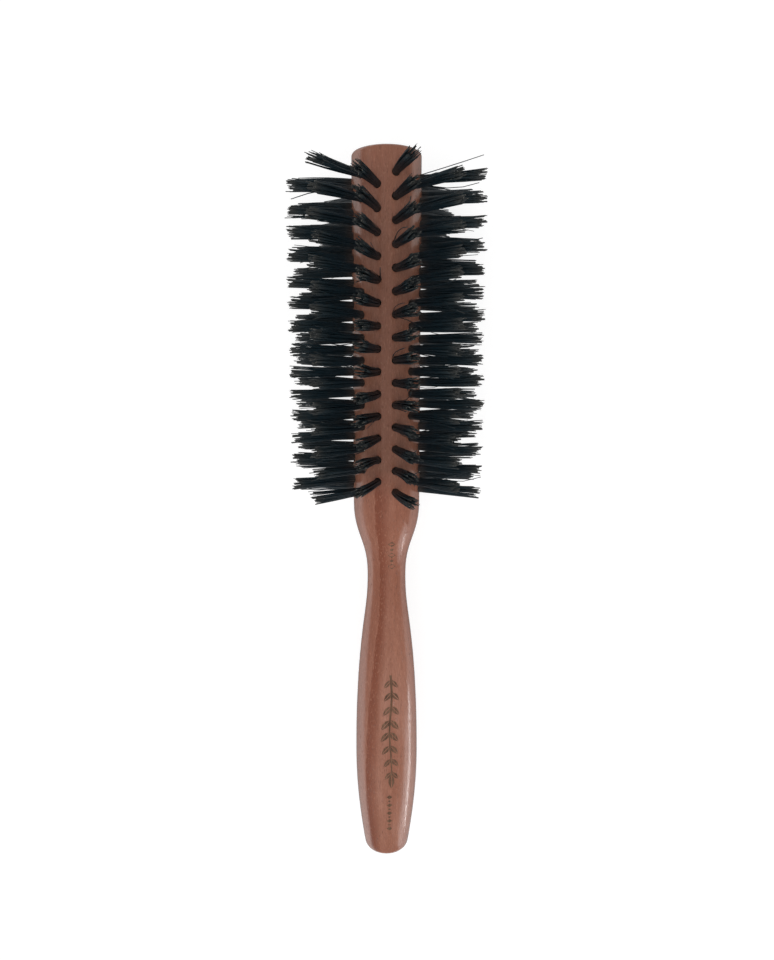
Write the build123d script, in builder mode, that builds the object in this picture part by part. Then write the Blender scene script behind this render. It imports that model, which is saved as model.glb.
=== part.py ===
"""Round barrel brush: a turned wooden body with twelve staggered rows of bristle tufts.

Frame: millimetres, +Z up. The brush lies on its bristles, its axis along X with the barrel end
towards +X. X = 0 is the middle of its length, Y = 0 the middle of its width, Z = 0 the table.

Each tuft is a bundle of bristles folded in half around a flat wire anchor. The anchor is driven
down the drilled hole on top of the fold, and its two ends bite into the wood beside the hole.
"""

from build123d import *
from math import cos, radians, sin, tan
import os

os.makedirs("parts", exist_ok=True)

# ---- Bristle field ----
BRISTLE_DIAMETER = 60.0  # over the tips
ROW_COUNT = 12  # rows around the barrel, an even number
TUFTS_IN_LONG_ROW = 15  # the rows between the long ones have one tuft fewer
TUFT_PITCH = 6.83  # along a row
END_MARGIN = 7.8  # barrel end to the first tuft of a long row
SHOULDER_MARGIN = 4.9  # last tuft of a long row to the start of the shoulder

# ---- Tuft, hole and anchor ----
HOLE_DIAMETER = 2.5
HOLE_DEPTH = 6.5
TIP_GAP = 2.4  # between the tips of neighbouring tufts in a row
TUFT_CLEARANCE = 0.05  # between the packed bundle and its hole
FOLD_THICKNESS = 1.1  # bundle under the anchor
ANCHOR_BITE = 0.3  # how far each end of the anchor goes into the wood beside the hole
ANCHOR_THICKNESS = 0.45
ANCHOR_HEIGHT = 1.3
ANCHOR_EDGE_RADIUS = 0.11
ANCHOR_CLEARANCE = 0.02  # beside and above the anchor

# ---- Turned body ----
BARREL_DIAMETER = 21.6
END_ROUNDING = 1.1
SHOULDER_LENGTH = 23.6
SHOULDER_FULLNESS = 0.45  # share of its length over which its curve follows barrel and neck
NECK_DIAMETER = 12.7
NECK_LENGTH = 1.8
HANDLE_LENGTH = 98.3  # end of the neck to the butt face
FLARE_DIAMETER = 16.3  # outline where the neck opens into the grip
FLARE_POSITION = 18.4  # from the end of the neck, as are the two positions below
FLARE_ANGLE = 7.1
SWELL_DIAMETER = 19.8
SWELL_POSITION = 38.4
SWELL_ANGLE = 3.15
GRIP_DIAMETER = 21.1
GRIP_POSITION = 63.1
BUTT_DIAMETER = 15.3  # where the butt's rounding starts
BUTT_ANGLE = 9.0
BUTT_ROUNDING = 2.0  # length of that rounding
BUTT_FACE_DIAMETER = 10.8

# ---- Layout worked out from the sizes above ----
BRISTLE_RADIUS = BRISTLE_DIAMETER / 2
BARREL_RADIUS = BARREL_DIAMETER / 2
NECK_RADIUS = NECK_DIAMETER / 2
LONG_ROW_LENGTH = (TUFTS_IN_LONG_ROW - 1) * TUFT_PITCH
BARREL_LENGTH = END_MARGIN + LONG_ROW_LENGTH + SHOULDER_MARGIN
NECK_START = BARREL_LENGTH + SHOULDER_LENGTH
HANDLE_START = NECK_START + NECK_LENGTH
OVERALL_LENGTH = HANDLE_START + HANDLE_LENGTH
BARREL_END_X = OVERALL_LENGTH / 2
LONG_ROW_MIDDLE_X = BARREL_END_X - END_MARGIN - LONG_ROW_LENGTH / 2
ROW_ANGLE = 360 / ROW_COUNT
TUFT_TIP_DIAMETER = TUFT_PITCH - TIP_GAP
ANCHOR_LENGTH = HOLE_DIAMETER + 2 * ANCHOR_BITE  # along the brush

# Levels in a tuft's hole, as distances from the brush axis.
HOLE_FLOOR = BARREL_RADIUS - HOLE_DEPTH
FOLD_BOTTOM = HOLE_FLOOR + TUFT_CLEARANCE
ANCHOR_BOTTOM = FOLD_BOTTOM + FOLD_THICKNESS
BUNDLE_RADIUS = HOLE_DIAMETER / 2 - TUFT_CLEARANCE

# The brush rests on its two lowest rows, which stand half a row angle either side of straight
# down. The lowest point of the trimmed tips is on the lower edge of each tuft.
TIP_HALF_ANGLE = TUFT_TIP_DIAMETER / BRISTLE_DIAMETER
REST_ANGLE = radians(ROW_ANGLE / 2) - TIP_HALF_ANGLE
AXIS_HEIGHT = BRISTLE_RADIUS * cos(REST_ANGLE)


def row_plane(row):
    """Plane at the brush axis, X along it, whose Z points outward along one row of tufts."""
    angle = radians(ROW_ANGLE * (row - 0.5))
    outward = (0, -sin(angle), cos(angle))
    return Plane(origin=(LONG_ROW_MIDDLE_X, 0, AXIS_HEIGHT), x_dir=(1, 0, 0), z_dir=outward)


def tuft_places(row):
    """Places of a row's tufts. Even rows are one tuft shorter, which staggers them."""
    tuft_count = TUFTS_IN_LONG_ROW - (row + 1) % 2
    return GridLocations(TUFT_PITCH, TUFT_PITCH, tuft_count, 1)


def slope(angle):
    """Direction of an outline that opens by this many degrees towards the butt."""
    return (cos(radians(angle)), sin(radians(angle)))


# ---- Turned body: barrel, shoulder, neck, grip and butt in one piece ----
# The outline runs from the barrel end (x = 0) towards the butt, with y as the radius.
BODY_PLANE = Plane(origin=(BARREL_END_X, 0, AXIS_HEIGHT), x_dir=(-1, 0, 0), z_dir=(0, 1, 0))
BODY_AXIS = Axis((0, 0, AXIS_HEIGHT), (1, 0, 0))
SHOULDER_PULL = SHOULDER_FULLNESS * SHOULDER_LENGTH
BUTT_EDGE_RADIUS = BUTT_DIAMETER / 2 - BUTT_ROUNDING * tan(radians(BUTT_ANGLE))

with BuildPart() as turned_body:
    with BuildSketch(BODY_PLANE):
        with BuildLine():
            barrel_end = Line((0, 0), (0, BARREL_RADIUS - END_ROUNDING))
            rounding = RadiusArc(barrel_end @ 1, (END_ROUNDING, BARREL_RADIUS), END_ROUNDING)
            barrel = Line(rounding @ 1, (BARREL_LENGTH, BARREL_RADIUS))
            shoulder = Bezier(
                barrel @ 1,
                (BARREL_LENGTH + SHOULDER_PULL, BARREL_RADIUS),
                (NECK_START - SHOULDER_PULL, NECK_RADIUS),
                (NECK_START, NECK_RADIUS),
            )
            neck = Line(shoulder @ 1, (HANDLE_START, NECK_RADIUS))
            grip = Spline(
                neck @ 1,
                (HANDLE_START + FLARE_POSITION, FLARE_DIAMETER / 2),
                (HANDLE_START + SWELL_POSITION, SWELL_DIAMETER / 2),
                (HANDLE_START + GRIP_POSITION, GRIP_DIAMETER / 2),
                (OVERALL_LENGTH - BUTT_ROUNDING, BUTT_DIAMETER / 2),
                tangents=[slope(angle) for angle in (0, FLARE_ANGLE, SWELL_ANGLE, 0, -BUTT_ANGLE)],
            )
            butt_edge = (OVERALL_LENGTH, BUTT_EDGE_RADIUS)
            butt = Bezier(grip @ 1, butt_edge, (OVERALL_LENGTH, BUTT_FACE_DIAMETER / 2))
            face = Line(butt @ 1, (OVERALL_LENGTH, 0))
            Line(face @ 1, barrel_end @ 0)
        make_face()
    revolve(axis=BODY_AXIS)
    for row in range(1, ROW_COUNT + 1):
        with BuildSketch(row_plane(row).offset(HOLE_FLOOR)):
            with tuft_places(row):
                Circle(HOLE_DIAMETER / 2)
        extrude(amount=HOLE_DEPTH, mode=Mode.SUBTRACT)
        with BuildSketch(row_plane(row).offset(ANCHOR_BOTTOM)):
            with tuft_places(row):
                Rectangle(ANCHOR_LENGTH + 2 * ANCHOR_CLEARANCE, ANCHOR_THICKNESS + 2 * ANCHOR_CLEARANCE)
        extrude(amount=ANCHOR_HEIGHT + ANCHOR_CLEARANCE, mode=Mode.SUBTRACT)
turned_body.part.label = "turned_body"
export_step(turned_body.part, "parts/turned_body.step")

# ---- One tuft, standing on the brush axis with Z outward ----
# Packed in the hole, it flares from the barrel's surface to its tips, which are trimmed to the
# bristle diameter. The slot is where the anchor sits in the fold.
FLARE_RATE = (TUFT_TIP_DIAMETER / 2 - BUNDLE_RADIUS) / (BRISTLE_RADIUS - BARREL_RADIUS)
TRIM_ALLOWANCE = 1.0  # bristle cut away by the trimming
RAW_TIP = BRISTLE_RADIUS + TRIM_ALLOWANCE
RAW_TIP_RADIUS = BUNDLE_RADIUS + FLARE_RATE * (RAW_TIP - BARREL_RADIUS)
FOLD_RADIUS = FOLD_THICKNESS / 2

with BuildPart() as tuft:
    with BuildSketch(Plane.XZ):
        with BuildLine():
            fold = Line((0, FOLD_BOTTOM), (BUNDLE_RADIUS - FOLD_RADIUS, FOLD_BOTTOM))
            fold_side = RadiusArc(fold @ 1, (BUNDLE_RADIUS, FOLD_BOTTOM + FOLD_RADIUS), -FOLD_RADIUS)
            bundle = Line(fold_side @ 1, (BUNDLE_RADIUS, BARREL_RADIUS))
            flare = Line(bundle @ 1, (RAW_TIP_RADIUS, RAW_TIP))
            tip = Line(flare @ 1, (0, RAW_TIP))
            Line(tip @ 1, fold @ 0)
        make_face()
    revolve(axis=Axis.Z)
    with BuildSketch(Plane.XY.offset(ANCHOR_BOTTOM)):
        Rectangle(HOLE_DIAMETER, ANCHOR_THICKNESS + 2 * ANCHOR_CLEARANCE)
    extrude(amount=ANCHOR_HEIGHT + ANCHOR_CLEARANCE, mode=Mode.SUBTRACT)
    with BuildSketch(Plane.YZ):
        Circle(BRISTLE_RADIUS)
    extrude(amount=TUFT_TIP_DIAMETER, both=True, mode=Mode.INTERSECT)

# ---- One anchor, in the same place as the tuft that it holds ----
with BuildPart() as anchor:
    with BuildSketch(Plane.XY.offset(ANCHOR_BOTTOM)):
        Rectangle(ANCHOR_LENGTH, ANCHOR_THICKNESS)
    extrude(amount=ANCHOR_HEIGHT)
    fillet(anchor.edges().filter_by(Axis.X), ANCHOR_EDGE_RADIUS)

# ---- Rows of tufts and their anchors ----
for row in range(1, ROW_COUNT + 1):
    with BuildPart(row_plane(row)) as tuft_row:
        with tuft_places(row):
            add(tuft.part)
    tuft_row.part.label = f"tuft_row_{row:02}"
    export_step(tuft_row.part, f"parts/tuft_row_{row:02}.step")

    with BuildPart(row_plane(row)) as anchor_row:
        with tuft_places(row):
            add(anchor.part)
    anchor_row.part.label = f"anchor_row_{row:02}"
    export_step(anchor_row.part, f"parts/anchor_row_{row:02}.step")
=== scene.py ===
"""Looks of the round barrel brush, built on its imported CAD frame. Metres, +Z up, the brush's
axis along X with the barrel end towards +X.

The turned body keeps its CAD shape and gets a lacquered hardwood. Every tuft is made again as
separate bristles that leave its hole, spread and bend, and each row of them replaces its CAD row.
"""

import math

import bmesh
import bpy
import numpy as np
from mathutils import Matrix, Vector


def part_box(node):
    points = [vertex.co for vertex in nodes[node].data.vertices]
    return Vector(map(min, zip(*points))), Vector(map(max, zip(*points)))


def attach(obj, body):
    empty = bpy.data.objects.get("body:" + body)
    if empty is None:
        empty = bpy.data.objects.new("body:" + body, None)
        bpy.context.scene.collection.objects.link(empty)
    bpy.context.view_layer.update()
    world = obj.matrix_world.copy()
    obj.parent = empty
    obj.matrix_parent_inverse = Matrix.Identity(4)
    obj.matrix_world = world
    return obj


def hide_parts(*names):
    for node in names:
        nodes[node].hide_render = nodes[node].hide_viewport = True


MM = 0.001
RANDOM = np.random.default_rng(7)

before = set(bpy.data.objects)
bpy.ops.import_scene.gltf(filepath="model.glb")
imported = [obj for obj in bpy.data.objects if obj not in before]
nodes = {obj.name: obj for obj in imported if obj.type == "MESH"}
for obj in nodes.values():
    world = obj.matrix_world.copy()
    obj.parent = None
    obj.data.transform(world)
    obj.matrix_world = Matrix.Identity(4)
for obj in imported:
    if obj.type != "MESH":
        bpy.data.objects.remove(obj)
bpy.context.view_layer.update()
ROW_NAMES = sorted(name for name in nodes if name.startswith("tuft_row"))

# ---- The frame's own measures ----
body_low, body_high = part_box("turned_body")
AXIS_HEIGHT = (body_low.z + body_high.z) / 2
BARREL_RADIUS = (body_high.z - body_low.z) / 2
BARREL_END = body_high.x
BUTT = body_low.x


def points_of(name):
    """All the mesh points of a CAD node."""
    mesh = nodes[name].data
    points = np.empty(len(mesh.vertices) * 3)
    mesh.vertices.foreach_get("co", points)
    return points.reshape(-1, 3)


def from_axis(points):
    """Distance of each point from the brush's axis."""
    return np.hypot(points[:, 1], points[:, 2] - AXIS_HEIGHT)


BRISTLE_RADIUS = max(from_axis(points_of(name)).max() for name in ROW_NAMES)


# ---- Shader helpers ----
class Shader:
    """A small wrapper that adds and links the nodes of one material."""

    def __init__(self, name):
        self.material = bpy.data.materials.new(name)
        self.material.use_nodes = True
        self.tree = self.material.node_tree
        self.surface = self.tree.nodes["Principled BSDF"]

    def add(self, kind, inputs=None, **settings):
        node = self.tree.nodes.new(kind)
        for key, value in settings.items():
            setattr(node, key, value)
        for key, value in (inputs or {}).items():
            self.set(node.inputs[key], value)
        return node

    def set(self, socket, value):
        if isinstance(value, bpy.types.NodeSocket):
            self.tree.links.new(value, socket)
        else:
            socket.default_value = value

    def math(self, operation, a, b=0.0):
        node = self.add("ShaderNodeMath", operation=operation)
        self.set(node.inputs[0], a)
        self.set(node.inputs[1], b)
        return node.outputs[0]

    def vector(self, operation, a, b):
        node = self.add("ShaderNodeVectorMath", operation=operation)
        self.set(node.inputs[0], a)
        self.set(node.inputs[1], b)
        return node.outputs["Vector"]

    def position(self):
        return self.add("ShaderNodeTexCoord").outputs["Object"]

    def noise(self, vector, scale=1.0, detail=2.0, roughness=0.5):
        inputs = {"Vector": vector, "Scale": scale, "Detail": detail, "Roughness": roughness}
        return self.add("ShaderNodeTexNoise", inputs).outputs["Fac"]

    def grain(self, place, along, across, **settings):
        """Noise with its own fineness along X and across it, in turns per metre."""
        return self.noise(self.vector("MULTIPLY", place, (along, across, across)), **settings)

    def span(self, value, low, high, at_low=0.0, at_high=1.0):
        """The value's way from low to high, as a number from at_low to at_high."""
        inputs = {"Value": value, "From Min": low, "From Max": high, "To Min": at_low, "To Max": at_high}
        return self.add("ShaderNodeMapRange", inputs).outputs["Result"]

    def from_axis(self, place):
        """Distance of a place from the X axis."""
        across = self.vector("MULTIPLY", place, (0.0, 1.0, 1.0))
        return self.add("ShaderNodeVectorMath", {0: across}, operation="LENGTH").outputs["Value"]

    def ramp(self, value, stops):
        """Colour ramp through (place, colour or grey) stops."""
        node = self.add("ShaderNodeValToRGB", {"Fac": value})
        elements = node.color_ramp.elements
        while len(elements) < len(stops):
            elements.new(1.0)
        for element, (place, colour) in zip(elements, stops):
            element.position = place
            element.color = colour if isinstance(colour, tuple) else (colour, colour, colour, 1.0)
        return node.outputs["Color"]

    def mix(self, factor, a, b, blend="MIX"):
        node = self.add("ShaderNodeMix", data_type="RGBA", blend_type=blend)
        self.set(node.inputs["Factor"], factor)
        self.set(node.inputs["A"], a)
        self.set(node.inputs["B"], b)
        return node.outputs["Result"]

    def bump(self, height, distance):
        inputs = {"Height": height, "Distance": distance, "Strength": 1.0}
        return self.add("ShaderNodeBump", inputs).outputs["Normal"]

    def finish(self, **inputs):
        """Sets the Principled inputs: Base_Color stands for Base Color."""
        for key, value in inputs.items():
            self.set(self.surface.inputs[key.replace("_", " ")], value)
        return self.material


def linear(red, green, blue):
    """Linear colour from 0-255 display values."""
    def channel(value):
        value /= 255
        return value / 12.92 if value <= 0.04045 else ((value + 0.055) / 1.055) ** 2.4
    return (channel(red), channel(green), channel(blue), 1.0)


# ---- Materials ----
PITH = (0.0, 0.012, -0.055)  # the tree's centre, seen from the brush's axis
RING_WANDER = 7.0 * MM
RING_LEAN = 0.02  # how much a ring changes along the grain
BARREL_FADE_IN = (BARREL_END - 0.105, BARREL_END - 0.096)  # where the barrel's darkening fades in: partly darker wood, partly painted shade of the tufts
END_FADE = 30.0 * MM  # where it grows lighter again, as the painted shade of the tufts lessens
# The painted dark reflection's place: share of the length from barrel end to butt, and turns towards +Y.
DARK_REFLECTION_PATH = [(0.0, 0.012), (0.48, 0.031), (0.57, 0.029), (0.64, 0.036), (0.69, 0.054),
                (0.83, 0.088), (0.92, 0.094), (1.0, 0.096)]
DARK_REFLECTION_HALF_WIDTH = 0.05  # turns
DARK_REFLECTION_DEPTHS = (4.0 * MM, 6.0 * MM)  # from the axis: none inside, all outside
DARK_REFLECTION_ON_BARREL = 0.3
DARK_REFLECTION_STRENGTH = 0.8


def turn_about_axis(shader, place):
    """Angle of a point round the brush's axis, in turns from straight up, positive towards +Y."""
    parts = shader.add("ShaderNodeSeparateXYZ", {"Vector": place})
    angle = shader.math("ARCTAN2", parts.outputs["Y"], parts.outputs["Z"])
    return parts.outputs["X"], shader.math("DIVIDE", angle, 2 * math.pi)


def growth_rings(shader, place, length):
    """Shells around a pith well outside the blank, which the turned surface cuts into bands."""
    wander = shader.grain(place, 11.0, 60.0, detail=2.0)
    radius = shader.from_axis(shader.vector("SUBTRACT", place, PITH))
    radius = shader.math("ADD", radius, shader.math("MULTIPLY", wander, RING_WANDER))
    lean = shader.math("MULTIPLY", length, RING_LEAN)
    return shader.add("ShaderNodeCombineXYZ", {"X": radius, "Y": lean}).outputs[0]


def painted_dark_reflection(shader, place, length, turn, fibre):
    """Strength of the painted dark reflection, one streak along the body, its edges broken up by fibres.
    """
    path = shader.add("ShaderNodeFloatCurve")
    shader.set(path.inputs["Value"], shader.span(length, BARREL_END, BUTT))
    curve = path.mapping.curves[0]
    curve.points[0].location = DARK_REFLECTION_PATH[0]
    curve.points[1].location = DARK_REFLECTION_PATH[-1]
    for point in DARK_REFLECTION_PATH[1:-1]:
        curve.points.new(*point)
    path.mapping.update()

    side = shader.math("SUBTRACT", turn, path.outputs["Value"])
    wobble = shader.grain(place, 70.0, 200.0, detail=3.0)
    for noise, amount in ((wobble, 0.035), (fibre, 0.030)):
        shift = shader.math("MULTIPLY", shader.math("SUBTRACT", noise, 0.5), amount)
        side = shader.math("ADD", side, shift)
    side = shader.span(side, -DARK_REFLECTION_HALF_WIDTH, DARK_REFLECTION_HALF_WIDTH)
    dark_reflection = shader.ramp(side, [(0.02, 0.0), (0.34, 0.75), (0.50, 1.0), (0.68, 1.0), (0.78, 0.0)])
    return shader.math("MULTIPLY", dark_reflection, shader.span(shader.from_axis(place), *DARK_REFLECTION_DEPTHS))


def wood_material():
    """Reddish brown hardwood, its grain along X, under a thin satin lacquer; painted reflection, glints
    and shade are in its colour.
    """
    shader = Shader("lacquered_wood")
    place = shader.vector("SUBTRACT", shader.position(), (0.0, 0.0, AXIS_HEIGHT))
    length, turn = turn_about_axis(shader, place)
    rings = growth_rings(shader, place, length)
    fibre = shader.grain(place, 420.0, 2700.0, detail=3.0, roughness=0.7)
    barrel = shader.span(length, *BARREL_FADE_IN)

    bands = shader.noise(rings, scale=300.0, detail=3.0, roughness=0.6)
    tone = shader.ramp(bands, [
        (0.30, linear(141, 88, 69)),
        (0.46, linear(151, 98, 79)),
        (0.60, linear(158, 107, 88)),
        (0.72, linear(164, 115, 97)),
    ])

    # Long soft streaks, then the painted dark reflection of the surroundings, which is faint on the
    # barrel.
    streak = shader.grain(place, 16.0, 380.0, detail=4.0, roughness=0.55)
    tone = shader.mix(shader.ramp(streak, [(0.42, 0.0), (0.68, 0.45)]), tone, linear(136, 84, 64))
    dark_reflection = painted_dark_reflection(shader, place, length, turn, fibre)
    strength = shader.math("MULTIPLY", barrel, 1.0 - DARK_REFLECTION_ON_BARREL)
    strength = shader.math("MULTIPLY", shader.math("SUBTRACT", 1.0, strength), DARK_REFLECTION_STRENGTH)
    tone = shader.mix(shader.math("MULTIPLY", dark_reflection, strength), tone, linear(124, 67, 48))

    # Fine fibres, short dark pores and pale flecks, all stretched along the grain; the pale flecks are
    # partly the wood's own and partly painted glints.
    tone = shader.mix(0.15, tone, shader.ramp(fibre, [(0.3, 0.10), (0.7, 0.95)]), "OVERLAY")
    pores = shader.ramp(shader.grain(place, 700.0, 4200.0, detail=1.0), [(0.27, 1.0), (0.36, 0.0)])
    tone = shader.mix(shader.math("MULTIPLY", pores, 0.45), tone, linear(92, 52, 40))
    # Pale flecks: partly the wood's own flecks, partly painted glints of the open grain.
    fleck_and_glint = shader.grain(place, 1100.0, 2300.0, detail=1.5)
    tone = shader.mix(shader.ramp(fleck_and_glint, [(0.56, 0.0), (0.76, 0.32)]), tone, linear(190, 138, 112))

    # The barrel is darker than the handle, and less so towards its end: partly darker wood, partly
    # painted shade from the tufts.
    fade = shader.span(length, BARREL_END - END_FADE, BARREL_END, 0.55, 0.20)
    tone = shader.mix(shader.math("MULTIPLY", barrel, fade), tone, linear(196, 220, 227), "MULTIPLY")

    # The flat ends show end grain: fine rings, darker and duller than the sides.
    ends = shader.math("GREATER_THAN", shader.math("ABSOLUTE", length), BARREL_END - 0.05 * MM)
    ring_lines = shader.noise(rings, scale=2400.0, detail=2.0)
    end_grain = shader.ramp(ring_lines, [(0.36, linear(98, 58, 43)), (0.64, linear(140, 90, 70))])
    tone = shader.mix(shader.math("MULTIPLY", ends, 0.6), tone, end_grain)

    rough = shader.ramp(fibre, [(0.3, 0.10), (0.7, 0.17)])
    rough = shader.math("ADD", rough, shader.math("MULTIPLY", ends, 0.35))
    ridges = shader.math("MULTIPLY", fibre, 0.5)
    height = shader.math("SUBTRACT", ridges, shader.math("MULTIPLY", pores, 0.6))
    return shader.finish(Base_Color=tone, Roughness=rough, Specular_IOR_Level=0.38,
                         Normal=shader.bump(height, 0.06 * MM))


WOOD = wood_material()
wood_body = nodes["turned_body"]
wood_body.data.materials.clear()
wood_body.data.materials.append(WOOD)


def bristle_material():
    """Near-black natural bristle: browner at the root and the tips, cooler between."""
    shader = Shader("black_bristle")
    place = shader.vector("SUBTRACT", shader.position(), (0.0, 0.0, AXIS_HEIGHT))
    along = shader.span(shader.from_axis(place), BARREL_RADIUS, BRISTLE_RADIUS)
    tone = shader.ramp(along, [
        (0.00, linear(68, 61, 58)),
        (0.16, linear(29, 41, 48)),
        (0.60, linear(22, 39, 47)),
        (0.85, linear(32, 43, 48)),
        (1.00, linear(50, 52, 51)),
    ])
    patches = shader.noise(place, scale=900.0, detail=2.0)
    tone = shader.mix(shader.ramp(patches, [(0.52, 0.0), (0.80, 0.45)]), tone, linear(54, 50, 44))
    rough = shader.ramp(patches, [(0.3, 0.36), (0.7, 0.50)])
    return shader.finish(Base_Color=tone, Roughness=rough, Specular_IOR_Level=0.35)


def cut_end_material():
    """The pale core that shows where a bristle is cut."""
    shader = Shader("cut_bristle_end")
    grain = shader.noise(shader.position(), scale=2500.0, detail=1.0)
    tone = shader.ramp(grain, [(0.3, linear(104, 100, 90)), (0.7, linear(168, 164, 152))])
    return shader.finish(Base_Color=tone, Roughness=0.6)


def steel_material():
    """Drawn flat wire, its fine lines along X."""
    shader = Shader("drawn_steel_wire")
    lines = shader.grain(shader.position(), 200.0, 9000.0, detail=3.0)
    tone = shader.ramp(lines, [(0.3, linear(176, 174, 170)), (0.7, linear(214, 213, 210))])
    rough = shader.ramp(lines, [(0.3, 0.24), (0.7, 0.42)])
    return shader.finish(Base_Color=tone, Roughness=rough, Metallic=1.0,
                         Normal=shader.bump(lines, 0.01 * MM))


def burnt_material():
    """Wood darkened by a hot stamp, with the grain still showing in it."""
    shader = Shader("burnt_stamp")
    grain = shader.grain(shader.position(), 220.0, 3000.0, detail=3.0, roughness=0.65)
    tone = shader.ramp(grain, [
        (0.32, linear(80, 58, 44)),
        (0.52, linear(106, 78, 60)),
        (0.70, linear(136, 102, 80)),
    ])
    return shader.finish(Base_Color=tone, Roughness=0.5, Specular_IOR_Level=0.3,
                         Normal=shader.bump(grain, 0.03 * MM))


STEEL = steel_material()
for name, node in nodes.items():
    if name.startswith("anchor_row"):
        node.data.materials.clear()
        node.data.materials.append(STEEL)


# ---- Bristles ----
BRISTLES_IN_TUFT = 100
SIDES = 4
BRISTLE_THICKNESS = 0.135 * MM  # radius at the root
ROOT_DEPTH = 1.6 * MM  # how far a bristle is followed down its hole
BUNDLE_SPREAD = 1.02 * MM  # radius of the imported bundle
TIP_SPREAD = 1.9 * MM
CLUMPS = 24  # groups that a tuft's tips gather into
TIP_SCATTER = 0.22 * MM  # of each bristle
TUFT_LEAN = 0.38 * MM  # of a whole tuft's tips
BRISTLE_BEND = 0.09 * MM
TUFT_BEND = 0.16 * MM
STRAYS = 0.02  # share of the bristles
STRAY_LEAN = 1.5 * MM
STRAY_BEND = 0.8 * MM
CLUMP_TRIM = (-0.35 * MM, 0.85 * MM)  # how far a clump ends past the bristle radius: mean, spread
LONGEST_CLUMP = 0.9 * MM
BRISTLE_TRIM = 0.25 * MM  # spread inside a clump
SHORT_BRISTLES = 0.15  # share of the bristles
SHORT_BY = (0.8 * MM, 4.5 * MM)
END_LEAN = 0.3 * MM  # how far the tips of a row's end tufts stand out
PALE_ENDS = 0.10  # share of the bristles
TABLE_CLEARANCE = 0.1 * MM
ALONG = np.array([0.0, 0.10, 0.28, 0.50, 0.75, 1.0])  # places of a bristle's rings


def tufts_of(name):
    """The tufts of a CAD row: the X of each, and the row's outward direction."""
    points = points_of(name)
    order = np.sort(points[:, 0])
    breaks = np.where(np.diff(order) > 0.3 * MM)[0]
    starts = np.concatenate(([0], breaks + 1))
    ends = np.concatenate((breaks, [len(order) - 1]))
    middle = points.mean(axis=0) - (0.0, 0.0, AXIS_HEIGHT)
    outward = np.array([0.0, middle[1], middle[2]])
    return (order[starts] + order[ends]) / 2, outward / np.linalg.norm(outward)


def disc(count, radius):
    """Even random points in a disc."""
    angle = RANDOM.uniform(0, 2 * math.pi, count)
    distance = radius * np.sqrt(RANDOM.uniform(0, 1, count))
    return np.stack((distance * np.cos(angle), distance * np.sin(angle)), axis=1)


def tuft_paths(x, outward, end_lean):
    """Paths of one tuft's bristles, as (bristle, ring, xyz), and the radius at each ring."""
    lengthwise = np.array([1.0, 0.0, 0.0])
    sideways = np.cross(outward, lengthwise)
    mouth = np.array([x, 0.0, AXIS_HEIGHT]) + outward * (BARREL_RADIUS - ROOT_DEPTH)
    reach = BRISTLE_RADIUS - BARREL_RADIUS

    root = disc(BRISTLES_IN_TUFT, BUNDLE_SPREAD)
    spread = root * (TIP_SPREAD / BUNDLE_SPREAD) + RANDOM.normal(0, TIP_SCATTER, root.shape)
    centres = disc(CLUMPS, TIP_SPREAD * 1.05)
    nearest = np.argmin(np.linalg.norm(spread[:, None] - centres[None], axis=2), axis=1)
    pull = RANDOM.uniform(0.45, 0.9, (BRISTLES_IN_TUFT, 1))
    tip = spread * (1 - pull) + centres[nearest] * pull
    tip = tip + RANDOM.normal(0, TUFT_LEAN, 2) + np.array([end_lean, 0.0])
    bend = RANDOM.normal(0, BRISTLE_BEND, root.shape) + RANDOM.normal(0, TUFT_BEND, 2)
    strays = RANDOM.uniform(0, 1, BRISTLES_IN_TUFT) < STRAYS
    tip[strays] += RANDOM.normal(0, STRAY_LEAN, (strays.sum(), 2))
    bend[strays] += RANDOM.normal(0, STRAY_BEND, (strays.sum(), 2))

    clump_trim = np.minimum(RANDOM.normal(*CLUMP_TRIM, CLUMPS), LONGEST_CLUMP)
    length = reach + ROOT_DEPTH + clump_trim[nearest] + RANDOM.normal(0, BRISTLE_TRIM, BRISTLES_IN_TUFT)
    short = RANDOM.uniform(0, 1, BRISTLES_IN_TUFT) < SHORT_BRISTLES
    length[short] -= RANDOM.uniform(*SHORT_BY, short.sum())

    step = ALONG[None, :, None]
    offset = root[:, None] * (1 - step) + tip[:, None] * step + bend[:, None] * (4 * step * (1 - step))
    paths = (mouth + outward * (step * length[:, None, None])
             + lengthwise * offset[..., :1] + sideways * offset[..., 1:])
    paths[..., 2] = np.maximum(paths[..., 2], TABLE_CLEARANCE)
    thickness = BRISTLE_THICKNESS * RANDOM.uniform(0.8, 1.2, (BRISTLES_IN_TUFT, 1))
    return paths, thickness * (1.0 - 0.2 * ALONG[None] ** 2)


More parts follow.
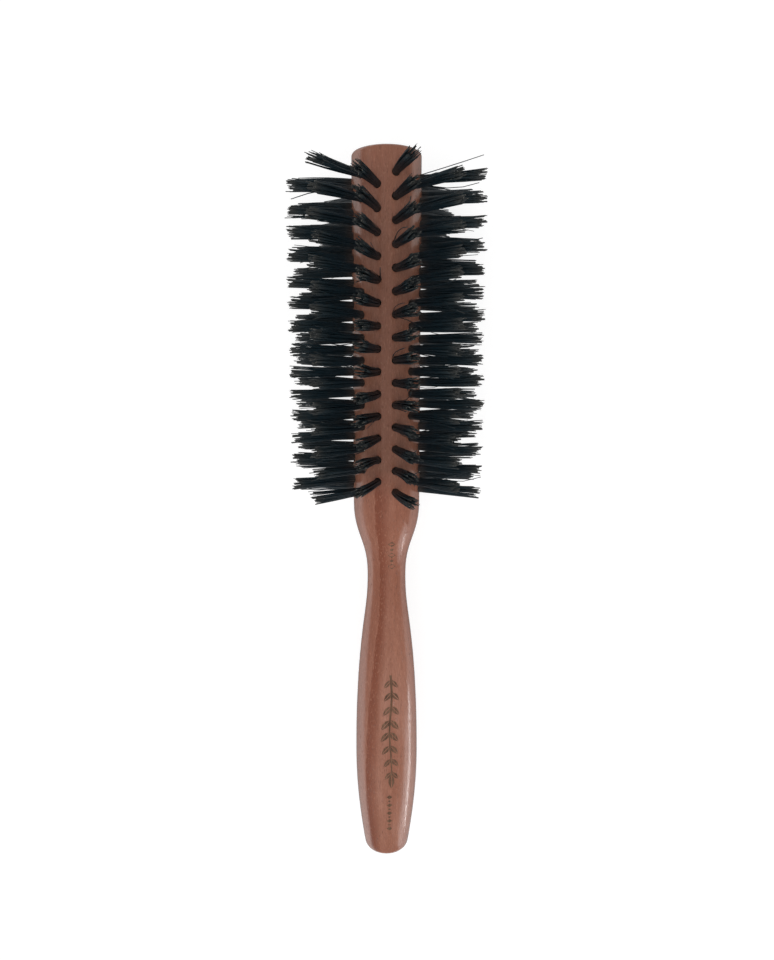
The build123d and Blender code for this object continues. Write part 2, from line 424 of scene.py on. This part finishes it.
def tube_mesh(name, paths, radii):
    """One mesh of closed-tip tubes along the paths, each with its own cell of the UV map."""
    count, rings = radii.shape
    tangent = np.gradient(paths, axis=1)
    tangent /= np.linalg.norm(tangent, axis=2, keepdims=True)
    first = np.cross(tangent, (1.0, 0.0, 0.0))
    first /= np.linalg.norm(first, axis=2, keepdims=True)
    second = np.cross(tangent, first)
    angle = np.arange(SIDES) * 2 * math.pi / SIDES
    ring = (first[:, :, None] * np.cos(angle)[:, None] + second[:, :, None] * np.sin(angle)[:, None])
    points = paths[:, :, None] + ring * radii[:, :, None, None]
    points = points.reshape(-1, 3)

    strand = np.arange(count)[:, None, None] * rings * SIDES
    level = np.arange(rings - 1)[None, :, None] * SIDES
    side = np.arange(SIDES)[None, None, :]
    after = (side + 1) % SIDES
    quads = np.stack((strand + level + side, strand + level + after,
                      strand + level + SIDES + after, strand + level + SIDES + side), axis=-1)
    caps = strand[:, 0] + (rings - 1) * SIDES + np.arange(SIDES)[None]
    faces = np.concatenate((quads.reshape(count, -1, 4), caps.reshape(count, 1, 4)), axis=1)
    faces_each = faces.shape[1]
    faces = faces.reshape(-1, 4)

    mesh = bpy.data.meshes.new(name)
    mesh.vertices.add(len(points))
    mesh.vertices.foreach_set("co", points.ravel())
    mesh.loops.add(faces.size)
    mesh.loops.foreach_set("vertex_index", faces.ravel())
    mesh.polygons.add(len(faces))
    mesh.polygons.foreach_set("loop_start", np.arange(len(faces)) * 4)
    mesh.update(calc_edges=True)
    mesh.polygons.foreach_set("use_smooth", np.ones(len(faces), bool))

    # A bristle's cell has one column for each side and one row for each stretch; its tip is a
    # strip over them.
    columns = math.ceil(math.sqrt(count))
    cell = 0.96 / columns
    corner = np.stack((np.arange(count) % columns, np.arange(count) // columns), axis=1) / columns
    u, v = cell / SIDES, cell / rings
    box = np.array([(0.0, 0.0), (1.0, 0.0), (1.0, 1.0), (0.0, 1.0)])
    place = np.array([(s, r) for r in range(rings - 1) for s in range(SIDES)] + [(0, rings - 1)])
    uv = (place[None, :, None] + box[None, None]) * (u, v) + corner[:, None, None]
    layer = mesh.uv_layers.new(name="OFBake")
    layer.data.foreach_set("uv", uv.reshape(count * faces_each * 4, 2).ravel())

    # Every face is bristle but the cut ends of some, which show their pale core.
    materials = np.zeros((count, faces_each), np.int32)
    materials[RANDOM.uniform(0, 1, count) < PALE_ENDS, -1] = 1
    mesh.materials.append(BRISTLE)
    mesh.materials.append(CUT_END)
    mesh.polygons.foreach_set("material_index", materials.ravel())
    return mesh


BRISTLE = bristle_material()
CUT_END = cut_end_material()


def bristle_row(cad_name):
    places, outward = tufts_of(cad_name)
    last = len(places) - 1
    tufts = []
    for index, x in enumerate(places):
        end_lean = END_LEAN * ((index == last) - (index == 0))
        tufts.append(tuft_paths(x, outward, end_lean))
    paths = np.concatenate([tuft[0] for tuft in tufts])
    radii = np.concatenate([tuft[1] for tuft in tufts])
    name = cad_name.replace("tuft", "bristles")
    mesh = tube_mesh(name, paths, radii)
    row = bpy.data.objects.new(name, mesh)
    bpy.context.scene.collection.objects.link(row)
    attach(row, "root")
    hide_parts(cad_name)


for row_name in ROW_NAMES:
    bristle_row(row_name)


# ---- Burnt-in ornament ----
# Drawn flat as (distance from the barrel end, distance round the body) in metres, then laid on
# the turned surface.
MARK_LIFT = 0.04 * MM


def surface_radius(distance):
    """Radius of the turned body at a distance from its barrel end."""
    return np.interp(distance, PROFILE[:, 0], PROFILE[:, 1])


def body_profile():
    """The body's outline behind the bristles, as rising (distance, radius) pairs."""
    points = points_of("turned_body")
    distance = BARREL_END - points[:, 0]
    radius = from_axis(points)
    outline = {}
    for where, size in zip(np.round(distance, 5), radius):
        outline[where] = max(size, outline.get(where, 0.0))
    return np.array(sorted(pair for pair in outline.items() if pair[0] > MARKS_START))


def ribbon(line, widths):
    """Corners of the strip along a flat line whose width changes, as a left and a right row."""
    line = np.asarray(line, float)
    along = np.gradient(line, axis=0)
    along /= np.linalg.norm(along, axis=1, keepdims=True)
    across = np.stack((-along[:, 1], along[:, 0]), axis=1) * np.asarray(widths)[:, None] / 2
    return line - across, line + across


def leaf(base, angle, length, width):
    """Both halves of a pointed leaf, either side of its vein."""
    step = np.linspace(0.0, 1.0, 13)
    forward = np.array([math.cos(angle), math.sin(angle)])
    across = np.array([-forward[1], forward[0]])
    half = width / 2 * np.sin(math.pi * step ** 0.8) ** 0.9
    vein = np.minimum(VEIN_GAP / 2, half * 0.5)
    line = np.asarray(base) + step[:, None] * length * forward
    return [(line + across * (side * half)[:, None], line + across * (side * vein)[:, None])
            for side in (1.0, -1.0)]


def mark(name, strips, middle):
    """One piece from flat strips, laid on the body round the line at middle."""
    points, faces = [], []
    for first, second in strips:
        start = len(points)
        count = len(first)
        for place in np.concatenate((first, second)):
            radius = surface_radius(place[0])
            angle = (middle + place[1]) / radius
            lifted = radius + MARK_LIFT
            across, up = -lifted * math.sin(angle), lifted * math.cos(angle)
            points.append((BARREL_END - place[0], across, AXIS_HEIGHT + up))
        for corner in range(start, start + count - 1):
            faces.append((corner, corner + 1, corner + count + 1, corner + count))
    mesh = bpy.data.meshes.new(name)
    mesh.from_pydata(points, [], faces)
    mesh.materials.append(BURNT)
    # Every face looks away from the brush's axis.
    outward = bmesh.new()
    outward.from_mesh(mesh)
    for face in outward.faces:
        middle_point = face.calc_center_median() - Vector((0.0, 0.0, AXIS_HEIGHT))
        if face.normal.dot(Vector((0.0, middle_point.y, middle_point.z))) < 0:
            face.normal_flip()
    outward.to_mesh(mesh)
    outward.free()
    piece = bpy.data.objects.new(name, mesh)
    bpy.context.scene.collection.objects.link(piece)
    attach(piece, "root")


def sprig():
    """A stem with paired leaves, 40 mm long, on the handle."""
    start, end = 164.8 * MM, 204.6 * MM
    where = np.linspace(start, end - 4.6 * MM, 60)
    sway = 0.35 * MM * np.sin((where - start) / (end - start) * 3 * math.pi)
    strips = [ribbon(np.stack((where, sway), axis=1), np.linspace(0.75, 0.45, 60) * MM)]
    pairs = 8
    for index in range(pairs):
        place = int(3 + index * 54 / (pairs - 1))
        size = 1.0 - 0.25 * abs(index - 3.5) / 3.5
        for side in (1.0, -1.0):
            base = (where[place], sway[place] + side * 0.15 * MM)
            strips += leaf(base, side * math.radians(40), 4.6 * MM * size, 1.9 * MM * size)
    strips += leaf((where[-1], sway[-1]), 0.0, 4.8 * MM, 2.0 * MM)
    mark("handle_sprig", strips, 1.35 * MM)


def lozenges(name, start, end, count, width, middle):
    """A row of lozenges, large and small in turn."""
    pitch = (end - start) / count
    strips = []
    for index in range(count):
        size = (1.0, 0.55)[index % 2]
        centre = start + (index + 0.5) * pitch
        line = [(centre + step * pitch * 0.48 * size, 0.0) for step in (-1.0, 0.0, 1.0)]
        strips.append(ribbon(line, np.array([0.02, 1.0, 0.02]) * width * size))
    mark(name, strips, middle)


BURNT = burnt_material()
VEIN_GAP = 0.22 * MM
MARKS_START = 110 * MM  # from the barrel end, past the last tufts
PROFILE = body_profile()
sprig()
lozenges("neck_lozenges", 119.8 * MM, 129.6 * MM, 5, 2.5 * MM, 1.7 * MM)
lozenges("butt_lozenges", 207.3 * MM, 221.3 * MM, 9, 1.9 * MM, 1.0 * MM)


# ---- Stage, lights and camera ----
PAPER_GREY = 0.3
PAPER_GLOW = 0.8
PAPER_SIZE = 3.0
PALE_WALL = 0.93
# The room's brightness in light and reflections, from straight down (0) to straight up (1).
ROOM = [(0.0, 0.30), (0.12, 0.45), (0.30, 1.4), (0.47, 2.1), (0.495, 0.36), (1.0, 0.36)]
ROOM_SIDES = (0.7, 1.05)  # its brightness from the -Y side to the +Y side
WINDOW_SIZES = ((0.44, 0.26), (0.31, 0.19), (0.18, 0.12))


def grey(level):
    return (level, level, level, 1.0)


def floor():
    shader = Shader("pale_paper")
    shader.finish(Base_Color=grey(PAPER_GREY), Roughness=0.9, Emission_Color=grey(1.0),
                  Emission_Strength=PAPER_GLOW)
    bpy.ops.mesh.primitive_plane_add(size=PAPER_SIZE, location=(0.0, 0.0, 0.0))
    plane = bpy.context.object
    plane.name = "floor"
    plane.data.materials.append(shader.material)
    plane.visible_glossy = False  # the room below has its own brightness in a reflection


def area_light(name, place, aim, size, radiance):
    """A soft light panel of that size whose face has that radiance."""
    data = bpy.data.lights.new(name, "AREA")
    data.shape = "RECTANGLE"
    data.size, data.size_y = size
    data.energy = radiance * math.pi * size[0] * size[1]
    light = bpy.data.objects.new(name, data)
    light.location = place
    direction = Vector(aim) - Vector(place)
    light.rotation_euler = direction.to_track_quat("-Z", "Y").to_euler()
    bpy.context.scene.collection.objects.link(light)
    return light


def room():
    """A pale room: a wall that the camera sees, and a brightness by direction for the rest."""
    world = bpy.data.worlds.new("studio")
    world.use_nodes = True
    tree = world.node_tree
    pale, dim = tree.nodes["Background"], tree.nodes.new("ShaderNodeBackground")
    pale.inputs["Color"].default_value = grey(PALE_WALL)

    where, direction = tree.nodes.new("ShaderNodeTexCoord"), tree.nodes.new("ShaderNodeSeparateXYZ")
    tree.links.new(where.outputs["Generated"], direction.inputs["Vector"])
    height, bright = tree.nodes.new("ShaderNodeMapRange"), tree.nodes.new("ShaderNodeValToRGB")
    height.inputs["From Min"].default_value = -1.0
    stops = bright.color_ramp.elements
    while len(stops) < len(ROOM):
        stops.new(1.0)
    for stop, (place, level) in zip(stops, ROOM):
        stop.position = place
        stop.color = grey(level)
    tree.links.new(direction.outputs["Z"], height.inputs["Value"])
    tree.links.new(height.outputs["Result"], bright.inputs["Fac"])
    tree.links.new(bright.outputs["Color"], dim.inputs["Color"])

    sides = tree.nodes.new("ShaderNodeMapRange")
    sides.inputs["From Min"].default_value = -1.0
    sides.inputs["To Min"].default_value, sides.inputs["To Max"].default_value = ROOM_SIDES
    tree.links.new(direction.outputs["Y"], sides.inputs["Value"])
    tree.links.new(sides.outputs["Result"], dim.inputs["Strength"])

    seen, pick = tree.nodes.new("ShaderNodeLightPath"), tree.nodes.new("ShaderNodeMixShader")
    tree.links.new(seen.outputs["Is Camera Ray"], pick.inputs["Fac"])
    tree.links.new(dim.outputs[0], pick.inputs[1])
    tree.links.new(pale.outputs[0], pick.inputs[2])
    tree.links.new(pick.outputs[0], tree.nodes["World Output"].inputs["Surface"])
    bpy.context.scene.world = world


def lights():
    """A soft top panel, a window that fades out towards its edges, and a low strip."""
    centre = (0.0, 0.0, AXIS_HEIGHT)
    top = area_light("top_panel", (-0.15, 0.05, 1.10), centre, (0.9, 0.9), 3.2)
    top.visible_glossy = False
    for step, size in enumerate(WINDOW_SIZES):
        area_light(f"window_{step}", (-0.60, -0.65, 0.14), centre, size, 2.6)
    low_strip = area_light("low_strip", (-0.183, -0.155, 0.015), (-0.183, 0.0, 0.03), (0.14, 0.014), 12.0)
    low_strip.visible_camera = False
    low_strip.visible_diffuse = False


CAMERA_TILT = math.radians(8.95)  # the handle end is the farther one
CAMERA_DISTANCE = 0.2304  # along the view to the brush's axis
CAMERA_LENS = 26.29  # on a 36 mm sensor
CAMERA_SHIFT = 0.0005  # share of the view's height
VIEW_CENTRE = 0.10107  # barrel end to the middle of the view


def camera():
    data = bpy.data.cameras.new("camera")
    data.lens = CAMERA_LENS
    data.sensor_width = 36.0
    data.shift_x = CAMERA_SHIFT
    data.clip_start = 0.01
    view = bpy.data.objects.new("camera", data)
    tilt_sin, tilt_cos = math.sin(CAMERA_TILT), math.cos(CAMERA_TILT)
    right = Vector((0.0, -1.0, 0.0))
    up = Vector((tilt_cos, 0.0, -tilt_sin))
    back = Vector((tilt_sin, 0.0, tilt_cos))
    target = Vector((BARREL_END - VIEW_CENTRE, 0.0, AXIS_HEIGHT))
    turn = Matrix((right, up, back)).transposed().to_4x4()
    view.matrix_world = Matrix.Translation(target + back * CAMERA_DISTANCE) @ turn
    bpy.context.scene.collection.objects.link(view)
    bpy.context.scene.camera = view


floor()
room()
lights()
camera()
bpy.context.scene.view_settings.view_transform = "Standard"
